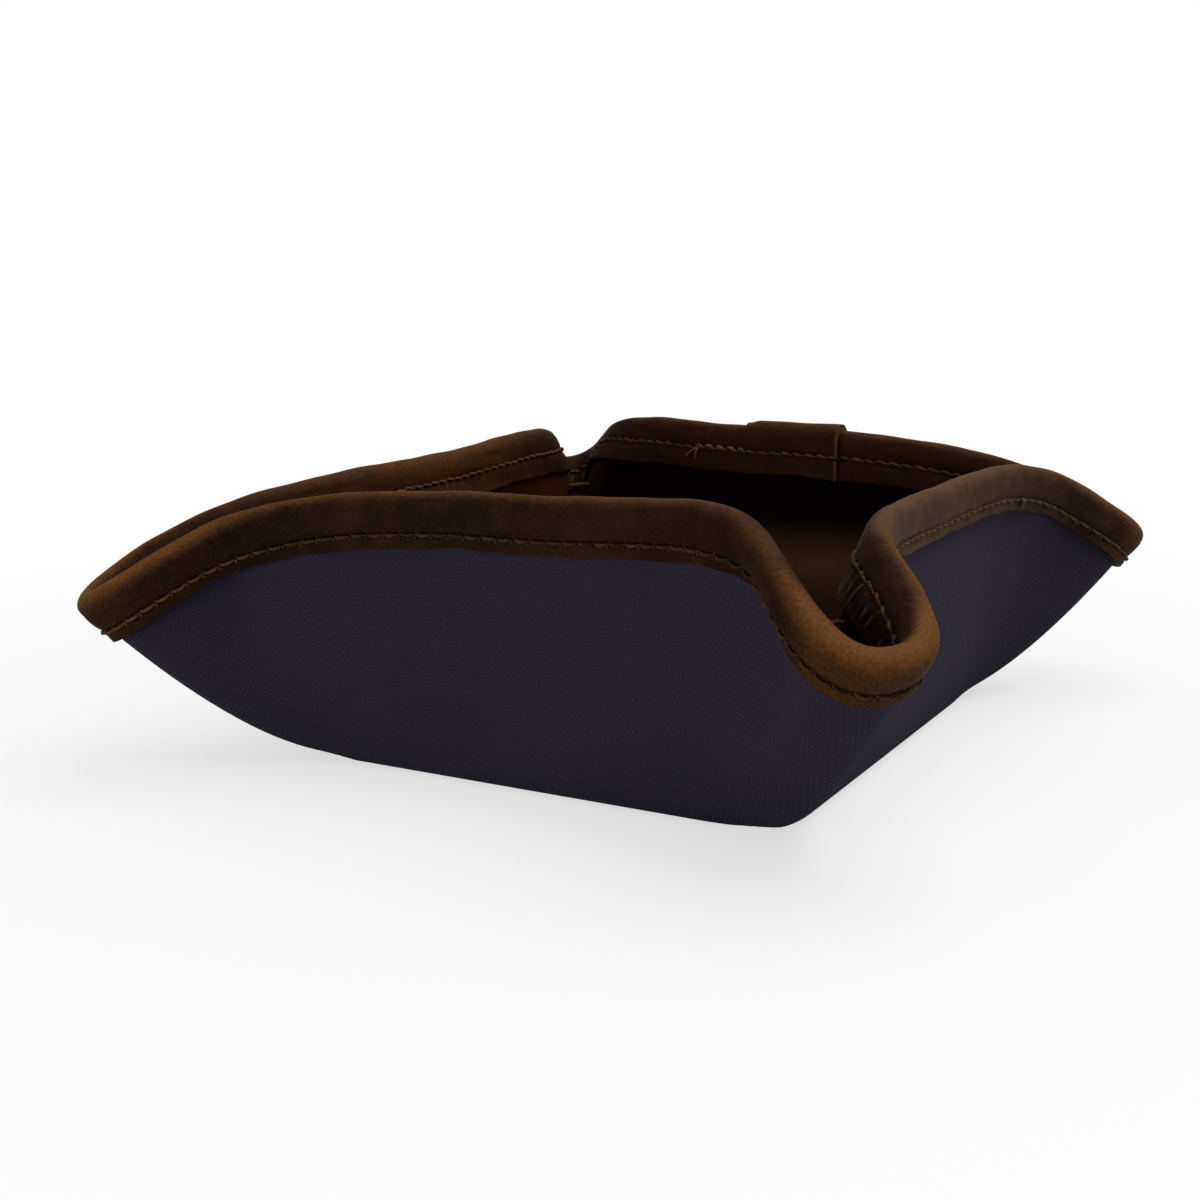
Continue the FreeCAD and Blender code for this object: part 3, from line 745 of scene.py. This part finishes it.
class Finish(Nodes):
    """A material's nodes, ending in its shader."""

    def __init__(self, name):
        self.material = bpy.data.materials.new(name)
        self.material.use_nodes = True
        super().__init__(self.material.node_tree)
        self.shader = self.tree.nodes["Principled BSDF"]

    def apart(self, first, second):
        """Distance between two values."""
        return self.maths("ABSOLUTE", self.minus(first, second))

    def length(self, first, second):
        """Length of the slope over two square sides."""
        squares = [self.maths("POWER", side, 2.0) for side in (first, second)]
        return self.maths("SQRT", self.plus(*squares))

    def ease(self, value, low, high, first=0.0, last=1.0):
        """Smooth change from one value to another as the input goes from low to high."""
        ends = {"Value": value, "From Min": low, "From Max": high, "To Min": first, "To Max": last}
        return self.add("ShaderNodeMapRange", ends, interpolation_type="SMOOTHSTEP").outputs["Result"]

    def blend(self, share, first, second):
        return self.add("ShaderNodeMix", {"Factor": share, 6: first, 7: second}, data_type="RGBA").outputs[2]

    def noise(self, place, scale, detail=2.0, rough=0.5, twist=0.0):
        node = self.add("ShaderNodeTexNoise", {"Vector": place, "Scale": scale, "Detail": detail,
                                               "Roughness": rough, "Distortion": twist})
        return node.outputs["Fac"]

    def stretch(self, place, scale, turn=(0.0, 0.0, 0.0)):
        node = self.add("ShaderNodeMapping", {"Vector": place, "Scale": scale, "Rotation": turn})
        return node.outputs[0]

    def split(self, vector):
        return self.add("ShaderNodeSeparateXYZ", {"Vector": vector}).outputs

    def place(self):
        return self.add("ShaderNodeTexCoord").outputs["Object"]

    def map(self, name):
        return self.add("ShaderNodeUVMap", uv_map=name).outputs[0]

    def mark(self, name):
        return self.add("ShaderNodeAttribute", attribute_name=name).outputs["Fac"]

    def sheen(self, weight, rough, tint):
        for label, value in (("Weight", weight), ("Roughness", rough), ("Tint", tint)):
            self.feed(self.shader.inputs["Sheen " + label], value)

    def finish(self, colour, rough, height, depth, specular):
        relief = self.add("ShaderNodeBump", {"Height": height, "Distance": depth, "Strength": 1.0})
        self.feed(self.shader.inputs["Base Color"], colour)
        self.feed(self.shader.inputs["Roughness"], rough)
        self.feed(self.shader.inputs["Normal"], relief.outputs[0])
        self.feed(self.shader.inputs["Specular IOR Level"], specular)
        return self.material


def rgb(red, green, blue):
    """Linear colour from a screen colour of 0 to 255."""
    def linear(value):
        value = value / 255
        return value / 12.92 if value <= 0.04045 else ((value + 0.055) / 1.055) ** 2.4
    return (linear(red), linear(green), linear(blue), 1.0)


# Colours of the binding's leather
hide_dark, hide_light = rgb(30, 17, 8), rgb(51, 30, 16)
worn_lit_dark, worn_lit_light = rgb(92, 57, 24), rgb(106, 68, 30)
warm_shade_dark, warm_shade_light = rgb(24, 8, 1), rgb(53, 23, 4)
glare_pale = rgb(88, 66, 48)
scratch_pale = rgb(88, 60, 37)
crease_dark = rgb(17, 9, 5)
flake_pale = rgb(94, 66, 38)
hole_shade_dark = rgb(7, 4, 2)
cut_edge_brown = rgb(84, 55, 30)
leather_sheen = (1.0, 0.8, 0.58, 1.0)

# Painted shade of the stitch holes and painted shadow of the thread on the leather, in millimetres on the
# seam's map
hole_above, hole_core, hole_edge = 0.2, 0.34, 0.56
shadow_above, shadow_core, shadow_edge = 0.38, 0.05, 0.32


def oiled_leather():
    """Brown oiled leather of the binding, lighter where it bends with wear and painted highlight, scuffed,
    with painted shade round its stitch holes and inside, and a painted reflection on the right wall.
    """
    f = Finish("oiled_binding_leather")
    place = f.place()
    seam = f.map("Seam")
    count, above = f.split(seam)[:2]
    warm_shade, painted_glare, creased = f.mark("warm_shade"), f.mark("painted_glare"), f.mark("crease")
    cloud = f.noise(place, 38.0, 3.0, 0.55)
    mottle = f.noise(place, 190.0, 4.0, 0.62)
    grain = f.noise(place, 1500.0, 3.0, 0.6)
    pores = f.add("ShaderNodeTexVoronoi", {"Vector": place, "Scale": 1700.0}).outputs["Distance"]

    # The hide, lighter where worn and with painted highlight, painted shade darker and warmer inside, a
    # painted reflection pale on the right wall
    tone = f.weighted((cloud, 0.3), (mottle, 0.3), (grain, 0.4))
    colour = f.blend(f.ease(tone, 0.38, 0.62), hide_dark, hide_light)
    scuff = f.weighted((grain, 0.2), (mottle, 0.25), start=-0.225)
    worn_and_lit = f.maths("ADD", f.mark("worn_and_lit"), scuff, clamp=True)
    rubbed_and_lit = f.blend(f.ease(grain, 0.36, 0.64), worn_lit_dark, worn_lit_light)
    colour = f.blend(f.ease(worn_and_lit, 0.15, 1.0), colour, rubbed_and_lit)
    colour = f.blend(f.times(warm_shade, 0.8), colour, f.blend(mottle, warm_shade_dark, warm_shade_light))
    glare_share = f.times(painted_glare, f.ease(mottle, 0.3, 0.7, 0.4, 0.65))
    colour = f.blend(glare_share, colour, glare_pale)

    # Fine scratches in patches
    line = f.noise(f.stretch(place, (36.0, 36.0, 130.0), (0.4, 0.9, 0.3)), 1.0, 2.0, 0.5, 0.6)
    scratch = f.ease(f.apart(line, 0.5), 0.0, 0.01, 1.0, 0.0)
    patch = f.ease(f.noise(place, 45.0, 1.0), 0.56, 0.72)
    colour = f.blend(f.times(f.times(scratch, patch), 0.35), colour, scratch_pale)

    # Dark creases inside the ears, with pale flakes along their folds
    colour = f.blend(f.times(creased, f.ease(mottle, 0.35, 0.6, 0.85, 0.4)), colour, crease_dark)
    fold = f.noise(f.stretch(seam, (1.1, 0.25, 1.0)), 1.0, 2.0, 0.6)
    fold_phase = f.maths("FRACT", f.weighted((fold, 0.8), (count, 1.4)))
    fold_line = f.ease(f.apart(fold_phase, 0.5), 0.06, 0.17, 1.0, 0.0)
    flake = f.times(f.times(creased, fold_line), f.ease(fold, 0.42, 0.56))
    colour = f.blend(f.times(flake, 0.65), colour, flake_pale)

    # Painted shade in the stitch holes and the thread's painted shadow, then the cut edges
    to_hole = f.times(f.apart(f.maths("FRACT", count), 0.5), stitch_pitch / mm)
    hole = f.ease(f.length(to_hole, f.minus(above, hole_above)), hole_core, hole_edge, 1.0, 0.0)
    shadow = f.ease(f.apart(above, shadow_above), shadow_core, shadow_edge, 0.6, 0.0)
    spared = f.weighted((painted_glare, -0.8), (warm_shade, -0.45), start=1.0)
    colour = f.blend(f.times(f.maths("MAXIMUM", hole, shadow), spared), colour, hole_shade_dark)
    colour = f.blend(f.times(f.mark("raw"), 0.7), colour, cut_edge_brown)

    relief = f.weighted((flake, 2.0), (hole, -2.5), (mottle, 0.8), (grain, 0.5), (pores, 0.4))
    f.sheen(0.08, 0.25, leather_sheen)
    return f.finish(colour, f.ease(mottle, 0.3, 0.7, 0.66, 0.54), relief, 0.12 * mm, 0.04)


# Colours of the lining
floor_dark, floor_light = rgb(66, 44, 28), rgb(88, 60, 40)
shade_brown = rgb(22, 13, 8)
wall_shade_dark, wall_shade_light = rgb(7, 3, 1), rgb(12, 6, 2)
left_wall_lit_brown = rgb(74, 38, 15)

# Where the lining changes tone and its painted shade: heights up the walls, and distances out from the tray's
# middle
wall_shade_start, wall_shade_full = 24 * mm, 38 * mm
ear_tone_start, ear_tone_full = 80 * mm, 96 * mm
shade_out_start, shade_out_full = 66 * mm, 82 * mm
foot_start, foot_full, foot_fade, foot_end = 3 * mm, 10 * mm, 16 * mm, 28 * mm
left_wall_full, left_wall_start = -66 * mm, -48 * mm


def lining_leather_finish():
    """Smooth brown leather of the inside: pale on the floor, painted shade round its foot, deep in the ears
    and up the walls, lighter on the left wall where light falls.
    """
    f = Finish("lining_leather")
    place = f.place()
    x, y, z = f.split(place)
    out = f.length(x, y)
    cloud = f.noise(place, 22.0, 3.0, 0.5)
    mottle = f.noise(place, 130.0, 4.0, 0.6)
    grain = f.noise(place, 1000.0, 3.0, 0.6)
    tone = f.ease(f.weighted((cloud, 0.55), (mottle, 0.45)), 0.35, 0.65)
    # Painted shade: at the foot of the walls and deep in the ears
    foot = f.times(f.ease(z, foot_start, foot_full), f.ease(z, foot_fade, foot_end, 1.0, 0.0))
    painted_shade = f.maths("MAXIMUM", f.ease(out, shade_out_start, shade_out_full, 0.0, 0.8), f.times(foot, 0.65))
    low = f.blend(painted_shade, f.blend(tone, floor_dark, floor_light), shade_brown)
    # Painted shade up the walls under the binding, kept weak in the ears
    high = f.blend(tone, wall_shade_dark, wall_shade_light)
    # On the left wall the painted shade gives way to a lit brown, where light falls
    high = f.blend(f.ease(x, left_wall_full, left_wall_start, 1.0, 0.0), high, left_wall_lit_brown)
    in_ear = f.ease(out, ear_tone_start, ear_tone_full, 1.0, 0.15)
    wall = f.times(f.ease(z, wall_shade_start, wall_shade_full), in_ear)
    relief = f.weighted((mottle, 0.8), start=grain)
    return f.finish(f.blend(wall, low, high), f.ease(mottle, 0.3, 0.7, 0.66, 0.54), relief, 0.1 * mm, 0.01)


# The canvas: its weave and its colours
warp_pitch = 0.56 * mm
weft_pitch = 0.92 * mm
thread_slip = 0.75 * mm
weave_height = 0.2 * mm
slub_stretch = 40.0
navy_hollow_shade = rgb(40, 37, 47)
navy_dark, navy_light = rgb(50, 46, 58), rgb(54, 50, 62)
canvas_sheen = (0.75, 0.7, 1.0, 1.0)


def canvas_finish():
    """Dark plain-weave canvas: a bump where each warp thread crosses over, threads a little uneven, painted
    shade in the hollows between.
    """
    f = Finish("navy_canvas")
    cut = f.map("Cut")
    along, across = f.split(cut)[:2]
    slip = f.times(f.minus(f.noise(cut, 260.0, 3.0, 0.65), 0.5), thread_slip)
    warp = f.maths("DIVIDE", f.plus(along, slip), warp_pitch)
    weft = f.maths("DIVIDE", f.plus(across, slip), weft_pitch)
    row = f.maths("ROUND", weft)
    ridge = f.maths("COSINE", f.times(f.minus(weft, row), math.pi))
    turn = f.maths("COSINE", f.times(f.plus(warp, row), math.pi))
    over = f.maths("POWER", f.weighted((turn, -0.499), start=0.5), 0.6)
    loose = f.ease(f.noise(cut, 900.0, 1.0), 0.3, 0.7, 0.45, 1.0)
    knop = f.times(f.times(over, loose), ridge)
    slub = f.noise(f.stretch(cut, (1 / warp_pitch, slub_stretch, 1.0)), 1.0, 1.0)
    slub_across = f.noise(f.stretch(cut, (slub_stretch, 1 / weft_pitch, 1.0)), 1.0, 1.0)
    tone = f.weighted((slub, 0.5), (slub_across, 0.5))
    base = f.blend(f.ease(f.noise(f.place(), 30.0, 2.0), 0.3, 0.7), navy_dark, navy_light)
    # Darker between the knops: painted shade in the weave's hollows, with the threads' own uneven tone
    light = f.weighted((knop, 0.5), (tone, 0.4))
    colour = f.blend(f.ease(light, -0.05, 0.6), navy_hollow_shade, base)
    f.sheen(0.04, 0.5, canvas_sheen)
    return f.finish(colour, 0.9, f.weighted((tone, 0.3), start=knop), weave_height, 0.04)


# Thread shades, and where the seam's thread is paler: on the right wall by a painted reflection, and on the
# left
twist_dark = rgb(40, 25, 14)
right_thread_glare, left_thread = rgb(92, 70, 51), rgb(106, 73, 40)
right_thread_start, right_thread_full = 54 * mm, 60 * mm
right_thread_near, right_thread_past = -58 * mm, -46 * mm
left_thread_full, left_thread_start = -58 * mm, -48 * mm


def thread_finish(name, dark, light):
    """Twisted thread, waxed, uneven along its length, paler on the right wall with a painted reflection."""
    f = Finish(name)
    place = f.place()
    x, y = f.split(place)[:2]
    tone = f.noise(place, 260.0, 2.0)
    twist = f.add("ShaderNodeTexWave", {"Vector": place, "Scale": 520.0, "Distortion": 2.0}).outputs["Fac"]
    colour = f.blend(f.ease(tone, 0.3, 0.7), dark, light)
    colour = f.blend(f.times(twist, 0.35), colour, twist_dark)
    # Painted reflection: the thread paler on the right wall, like the leather there
    glare_on_right = f.times(f.ease(x, right_thread_start, right_thread_full),
                       f.ease(y, right_thread_near, right_thread_past))
    colour = f.blend(f.times(glare_on_right, 0.7), colour, right_thread_glare)
    colour = f.blend(f.ease(x, left_thread_full, left_thread_start, 0.6, 0.0), colour, left_thread)
    return f.finish(colour, 0.65, twist, 0.08 * mm, 0.06)


class Tree(Nodes):
    """A Geometry Nodes tree with named inputs, run by a modifier and then made plain mesh."""

    def __init__(self, name, sizes, seeds=()):
        super().__init__(bpy.data.node_groups.new(name, "GeometryNodeTree"))
        self.tree.is_modifier = True
        for way in ("INPUT", "OUTPUT"):
            self.tree.interface.new_socket("Geometry", in_out=way, socket_type="NodeSocketGeometry")
        kinds = {label: "NodeSocketFloat" for label in sizes}
        kinds.update({label: "NodeSocketInt" for label in seeds})
        kinds["Material"] = "NodeSocketMaterial"
        self.names = {}
        for label, kind in kinds.items():
            made = self.tree.interface.new_socket(label, in_out="INPUT", socket_type=kind)
            self.names[label] = made.identifier
        self.start = self.tree.nodes.new("NodeGroupInput")
        self.end = self.tree.nodes.new("NodeGroupOutput")

    def given(self, label):
        return self.start.outputs[label]

    def kept(self, name, kind):
        """Value kept at each point of the source."""
        return self.add("GeometryNodeInputNamedAttribute", {"Name": name}, data_type=kind).outputs[0]

    def vector(self, operation, *values):
        return self.add("ShaderNodeVectorMath", dict(enumerate(values)), operation=operation).outputs[0]

    def scaled(self, vector, size):
        return self.add("ShaderNodeVectorMath", {0: vector, "Scale": size}, operation="SCALE").outputs[0]

    def moved(self, geometry, shift):
        return self.add("GeometryNodeSetPosition", {"Geometry": geometry, "Offset": shift}).outputs[0]

    def ring(self, resolution, radius):
        node = self.add("GeometryNodeCurvePrimitiveCircle", {"Resolution": resolution, "Radius": radius})
        return node.outputs[0]

    def together(self, *parts):
        joined = self.add("GeometryNodeJoinGeometry")
        for part in parts:
            self.tree.links.new(part, joined.inputs[0])
        return joined.outputs[0]

    def close(self, geometry):
        """End the tree with plain mesh that carries the material."""
        real = self.add("GeometryNodeRealizeInstances", {"Geometry": geometry})
        smooth_mesh = self.add("GeometryNodeSetShadeSmooth", {"Geometry": real.outputs[0]})
        painted = self.add("GeometryNodeSetMaterial", {"Geometry": smooth_mesh.outputs[0],
                                                       "Material": self.given("Material")})
        self.tree.links.new(painted.outputs[0], self.end.inputs[0])

    def bake(self, name, source, values):
        """Run the tree on a source object and keep the result as a plain mesh object."""
        modifier = source.modifiers.new("make", "NODES")
        modifier.node_group = self.tree
        for label, value in values.items():
            modifier[self.names[label]] = value
        graph = bpy.context.evaluated_depsgraph_get()
        data = bpy.data.meshes.new_from_object(source.evaluated_get(graph))
        data.name = name
        source.modifiers.remove(modifier)
        bpy.data.objects.remove(source)
        return add_object(name, data)


points_per_stitch = 8
hole_share = 0.3
arch_power = 0.45
thin_share = 0.55
thread_ring = 5
knot_shape = (1.0, 1.25, 0.8)


def stitch_tree():
    """A thread that dips into a hole at each stitch, with a small knot below every hole."""
    t = Tree("seam_stitches", ["Thread Radius", "Lift", "Dip", "Sag", "Slant", "Knot Radius", "Knot Drop",
                               "Unevenness"], ["Seed"])
    line = t.add("GeometryNodeMeshToCurve", {"Mesh": t.given("Geometry")}).outputs[0]
    out, count = t.kept("outward", "FLOAT_VECTOR"), t.kept("stitch", "FLOAT")
    tangent = t.add("GeometryNodeInputTangent").outputs[0]
    climb = t.vector("NORMALIZE", t.vector("CROSS_PRODUCT", out, tangent))
    place = t.plus(count, 0.5)
    phase, number = t.maths("FRACT", place), t.maths("FLOOR", place)

    # The thread arches over the leather between its holes, sags, slants and strays a little
    arch = t.maths("SINE", t.times(phase, math.pi))
    shown = t.maths("DIVIDE", t.minus(arch, hole_share), 1 - hole_share)
    rounded = t.maths("POWER", t.maths("MAXIMUM", shown, 0.0), arch_power)
    uneven = t.add("FunctionNodeRandomValue", {2: -1.0, 3: 1.0, "ID": number, "Seed": t.given("Seed")},
                   data_type="FLOAT")
    stray = t.times(uneven.outputs[1], t.given("Unevenness"))
    high = t.minus(t.times(rounded, t.plus(t.given("Lift"), t.given("Dip"))), t.given("Dip"))
    side = t.times(arch, t.times(t.given("Sag"), -1.0))
    lean = t.times(t.minus(phase, 0.5), t.given("Slant"))
    side = t.plus(t.plus(side, lean), stray)
    laid = t.moved(line, t.vector("ADD", t.scaled(out, high), t.scaled(climb, side)))
    thick = t.times(t.weighted((rounded, 1 - thin_share), start=thin_share), t.given("Thread Radius"))
    sized = t.add("GeometryNodeSetCurveRadius", {"Curve": laid, "Radius": thick}).outputs[0]
    radius = t.add("GeometryNodeInputRadius").outputs[0]
    tube = t.add("GeometryNodeCurveToMesh", {"Curve": sized, "Profile Curve": t.ring(thread_ring, 1.0)})
    if "Scale" in tube.inputs:
        t.feed(tube.inputs["Scale"], radius)

    # A knot below each hole
    at_hole = t.maths("COMPARE", t.maths("FRACT", count), 0.5, 0.25 / points_per_stitch)
    knot = t.add("GeometryNodeMeshIcoSphere", {"Radius": 1.0, "Subdivisions": 1}).outputs[0]
    turn = t.add("FunctionNodeAxesToRotation", {"Primary Axis": out, "Secondary Axis": tangent},
                 primary_axis="Z", secondary_axis="X").outputs[0]
    lowered = t.moved(line, t.scaled(climb, t.times(t.given("Knot Drop"), -1.0)))
    beads = t.add("GeometryNodeInstanceOnPoints", {
        "Points": lowered, "Selection": at_hole, "Instance": knot, "Rotation": turn,
        "Scale": t.scaled(knot_shape, t.given("Knot Radius"))}).outputs[0]
    t.close(t.together(tube.outputs[0], beads))
    return t


def thread_source(line, outward, stitch, closed):
    """Line of points with the direction out of the leather and the running count of stitches at each."""
    count = len(line)
    data = bpy.data.meshes.new("thread_source")
    joins = [(i, i + 1) for i in range(count - 1)]
    if closed:
        joins.append((count - 1, 0))
    data.from_pydata(line.tolist(), joins, [])
    mark_points(data, "outward", "FLOAT_VECTOR", outward)
    mark_points(data, "stitch", "FLOAT", stitch)
    return add_object("thread_source", data)


def seam_source(side, first, last):
    """The seam on one face between two running counts of stitches."""
    count, places = seams[side]
    stitch = np.arange(round(first * points_per_stitch), round(last * points_per_stitch)) / points_per_stitch
    stations = np.interp(stitch, places, np.append(strip_stations, len(sheet.halves)))
    line, outward = seam_line(side, stations)
    closed = last - first == count
    return thread_source(line[::side], outward[::side], stitch[::side], closed)


tail_points = 7
tail_lift = 0.5 * mm
tail_droop = 1.4


def tail_source(station, side, along, fall):
    """A loose end of thread lying on one face, from the seam at a station to a place along and below it."""
    line, outward = seam_line(side, np.array([station, station + 0.01]))
    ahead, away = unit(line[1] - line[0]), outward[0]
    climb = unit(np.cross(away, ahead)) * side
    shares = np.linspace(0, 1, tail_points)[:, None]
    lift = away * (np.sin(math.pi * shares) * tail_lift)
    points = line[0] + ahead * (along * shares) - climb * (fall * shares ** tail_droop) + lift
    return thread_source(points, np.repeat(away[None], tail_points, 0), np.zeros(tail_points), False)


def tack_tree():
    """A short bar of thread wound round and round between two folds."""
    t = Tree("wound_tack", ["Turns", "Bar Radius", "Span", "Thread Radius"])
    bar_radius, span = t.given("Bar Radius"), t.given("Span")
    coil = t.add("GeometryNodeCurveSpiral", {
        "Resolution": 14, "Rotations": t.given("Turns"), "Start Radius": bar_radius, "End Radius": bar_radius,
        "Height": span}).outputs[0]
    core_end = t.add("ShaderNodeCombineXYZ", {"Z": span}).outputs[0]
    core = t.add("GeometryNodeCurvePrimitiveLine", {"End": core_end}).outputs[0]
    tubes = []
    for curve, profile in ((coil, t.ring(7, t.given("Thread Radius"))), (core, t.ring(10, bar_radius))):
        tubes.append(t.add("GeometryNodeCurveToMesh", {"Curve": curve, "Profile Curve": profile,
                                                       "Fill Caps": True}).outputs[0])
    turn = t.add("FunctionNodeAlignRotationToVector", {"Vector": t.kept("outward", "FLOAT_VECTOR")}, axis="Z")
    placed = t.add("GeometryNodeInstanceOnPoints", {
        "Points": t.given("Geometry"), "Instance": t.together(*tubes), "Rotation": turn.outputs[0]})
    t.close(placed.outputs[0])
    return t


def tack_ends(corner):
    """Where a tack meets the lining on the two sides of its pinch."""
    ends = []
    for index in (2 * corner, 2 * corner + 1):
        half = sheet.halves[index]
        station = np.array([index + (half.pinch_share if index % 2 == 0 else 1 - half.pinch_share)])
        column = sheet.rim(sheet.points, station)[0]
        height = np.interp(half.tack_level, column[:, 2], np.linspace(0, 1, height_steps + 1))
        ends.append(sheet.offset(station, height, lining_inner)[0])
    return ends


def keep(piece, node):
    """Stand a finished piece for its solid, on the tray's one body."""
    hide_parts(node)
    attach(piece, "root")


canvas = layer_piece("canvas_cloth", canvas_outer, canvas_inner, wall_rows)
canvas.data.materials.append(canvas_finish())
keep(canvas, "canvas_shell")

lining = layer_piece("lining_leather", lining_outer, lining_inner, lining_rows)
lining.data.materials.append(lining_leather_finish())
keep(lining, "leather_lining")

binding = binding_strip()
binding.data.materials.append(oiled_leather())
keep(binding, "edge_binding")

thread = thread_finish("brown_thread", rgb(56, 35, 20), rgb(86, 57, 34))
pale_thread = thread_finish("pale_thread_ends", rgb(88, 61, 38), rgb(118, 86, 57))
stitches = stitch_tree()
outer_stitch = {
    "Thread Radius": 0.36 * mm, "Lift": 0.3 * mm, "Dip": 0.5 * mm, "Sag": 0.16 * mm, "Slant": -0.2 * mm,
    "Knot Radius": 0.34 * mm, "Knot Drop": 0.5 * mm, "Unevenness": 0.05 * mm, "Seed": 5, "Material": thread}
inner_stitch = {
    "Thread Radius": 0.4 * mm, "Lift": 0.3 * mm, "Dip": 0.45 * mm, "Sag": -0.1 * mm, "Slant": 0.6 * mm,
    "Knot Radius": 0.3 * mm, "Knot Drop": 0.15 * mm, "Unevenness": 0.12 * mm, "Seed": 9, "Material": thread}
outer = stitches.bake("outer_stitches", seam_source(1, 0, seams[1][0]), outer_stitch)
keep(outer, "outer_thread")
inner = stitches.bake("inner_stitches", seam_source(-1, 0, seams[-1][0]), inner_stitch)
keep(inner, "inner_thread")

# The seam's doubled start on the back wall, with its loose ends, and the knot at its end on the right wall
double_start, double_end = 4.058, 4.215
loose_station, knot_station = 4.21, 2.45
start_count, double_count = stitches_at(np.array([double_start, double_end]))[-1]
doubled = {**inner_stitch, "Lift": 0.7 * mm, "Dip": 0.1 * mm, "Sag": -0.7 * mm, "Seed": 3,
           "Material": pale_thread}
double_row = stitches.bake("doubled_stitches", seam_source(-1, start_count, double_count), doubled)
keep(double_row, "inner_thread")
loose = {**inner_stitch, "Thread Radius": 0.28 * mm, "Slant": 0.0, "Unevenness": 0.0, "Material": pale_thread}
for number, (along, fall) in enumerate(((3.6 * mm, 2.4 * mm), (0.8 * mm, 2.6 * mm))):
    tail = stitches.bake("loose_end_" + str(number), tail_source(loose_station, -1, along, fall), loose)
    keep(tail, "inner_thread")
knot = stitches.bake("end_knot", tail_source(knot_station, 1, 0.5 * mm, 1.6 * mm),
                     {**loose, "Thread Radius": 0.55 * mm})
keep(knot, "outer_thread")

tacks = tack_tree()
wound_tack = {"Turns": 7.0, "Bar Radius": 0.42 * mm, "Thread Radius": 0.24 * mm, "Material": thread}
for number, corner_name in enumerate(corner_names):
    first, last = tack_ends(number)
    span = float(np.linalg.norm(last - first))
    source = thread_source(first[None], unit(last - first)[None], np.zeros(1), False)
    tack = tacks.bake("corner_tack_thread_" + corner_name, source, {**wound_tack, "Span": span})
    keep(tack, "corner_tack_" + corner_name)


white = (1.0, 1.0, 1.0, 1.0)
floor_half = 6.0
floor_grey, floor_seen = (0.5, 0.5, 0.5, 1.0), (0.86, 0.86, 0.86, 1.0)
shade_near, shade_far, shade_least = 0.08, 0.3, 0.65
tray_light = 0.3
lit_point = np.array([0, 0, 0.03])
lamps = {
    "key": ((0.3, 0.15, 1.0), 1.2, 10.0),
    "front": ((-0.4, -1.0, 0.1), 0.8, 5.0),
    "side": ((1.0, 0.15, 0.25), 0.8, 1.4),
}


def plain_floor():
    """White sweep: a floor that keeps the tray's shadow near it, under a white surround."""
    data = bpy.data.meshes.new("floor")
    corners = [(x * floor_half, y * floor_half, 0) for x, y in ((-1, -1), (1, -1), (1, 1), (-1, 1))]
    data.from_pydata(corners, [], [(0, 1, 2, 3)])
    floor = add_object("floor", data)
    f = Finish("white_floor")
    seen = f.add("ShaderNodeLightPath").outputs["Is Camera Ray"]
    f.feed(f.shader.inputs["Base Color"], f.blend(seen, floor_grey, floor_seen))
    f.feed(f.shader.inputs["Roughness"], 0.9)
    f.feed(f.shader.inputs["Specular IOR Level"], 0.0)
    glow = f.add("ShaderNodeEmission", {"Color": white, "Strength": 1.0}).outputs[0]
    away = f.add("ShaderNodeVectorMath", {0: f.place()}, operation="LENGTH").outputs["Value"]
    share = f.times(seen, f.ease(away, shade_near, shade_far, shade_least, 1.0))
    mixed = f.add("ShaderNodeMixShader", {"Fac": share, 1: f.shader.outputs[0], 2: glow})
    f.feed(f.tree.nodes["Material Output"].inputs["Surface"], mixed.outputs[0])
    data.materials.append(f.material)


def stand(piece, right, over, back, place):
    """Put a lamp or a camera in its place, with its own axes given."""
    axes = np.stack([right, over, back], 1)
    piece.matrix_world = Matrix([list(row) + [p] for row, p in zip(axes, place)] + [[0, 0, 0, 1]])


def soft_light(name, place, size, power):
    data = bpy.data.lights.new(name, "AREA")
    data.shape = "DISK"
    data.size = size
    data.energy = power
    back = unit(np.array(place) - lit_point)
    right = unit(np.cross(up, back))
    stand(add_object(name, data), right, np.cross(back, right), back, place)


def surround():
    """White surround to the camera, a plain soft level of light to the tray."""
    world = bpy.data.worlds.new("studio")
    bpy.context.scene.world = world
    world.use_nodes = True
    nodes = Nodes(world.node_tree)
    back = nodes.tree.nodes["Background"]
    seen = nodes.add("ShaderNodeLightPath").outputs["Is Camera Ray"]
    level = nodes.add("ShaderNodeMapRange", {"Value": seen, "To Min": tray_light, "To Max": 1.0})
    nodes.feed(back.inputs["Color"], white)
    nodes.feed(back.inputs["Strength"], level.outputs["Result"])


def photo_camera():
    """Camera where the photograph was taken from."""
    bearing, distance, height = math.radians(27.67), 365.5 * mm, 108.5 * mm
    yaw, pitch, roll = math.radians(29.58), math.radians(12.46), math.radians(-0.77)
    focal_share = 1705 / 1200
    data = bpy.data.cameras.new("camera")
    data.sensor_width = 36.0
    data.lens = focal_share * data.sensor_width
    data.clip_start = 0.01
    place = np.array([distance * math.sin(bearing), -distance * math.cos(bearing), height])
    ahead = np.array([-math.sin(yaw) * math.cos(pitch), math.cos(yaw) * math.cos(pitch), -math.sin(pitch)])
    level = np.array([math.cos(yaw), math.sin(yaw), 0.0])
    above = np.cross(level, ahead)
    right = level * math.cos(roll) + above * math.sin(roll)
    over = above * math.cos(roll) - level * math.sin(roll)
    camera = add_object("camera", data)
    stand(camera, right, over, -ahead, place)
    bpy.context.scene.camera = camera


plain_floor()
for name, (place, size, power) in lamps.items():
    soft_light(name, place, size, power)
surround()
photo_camera()
bpy.context.scene.view_settings.view_transform = "Standard"
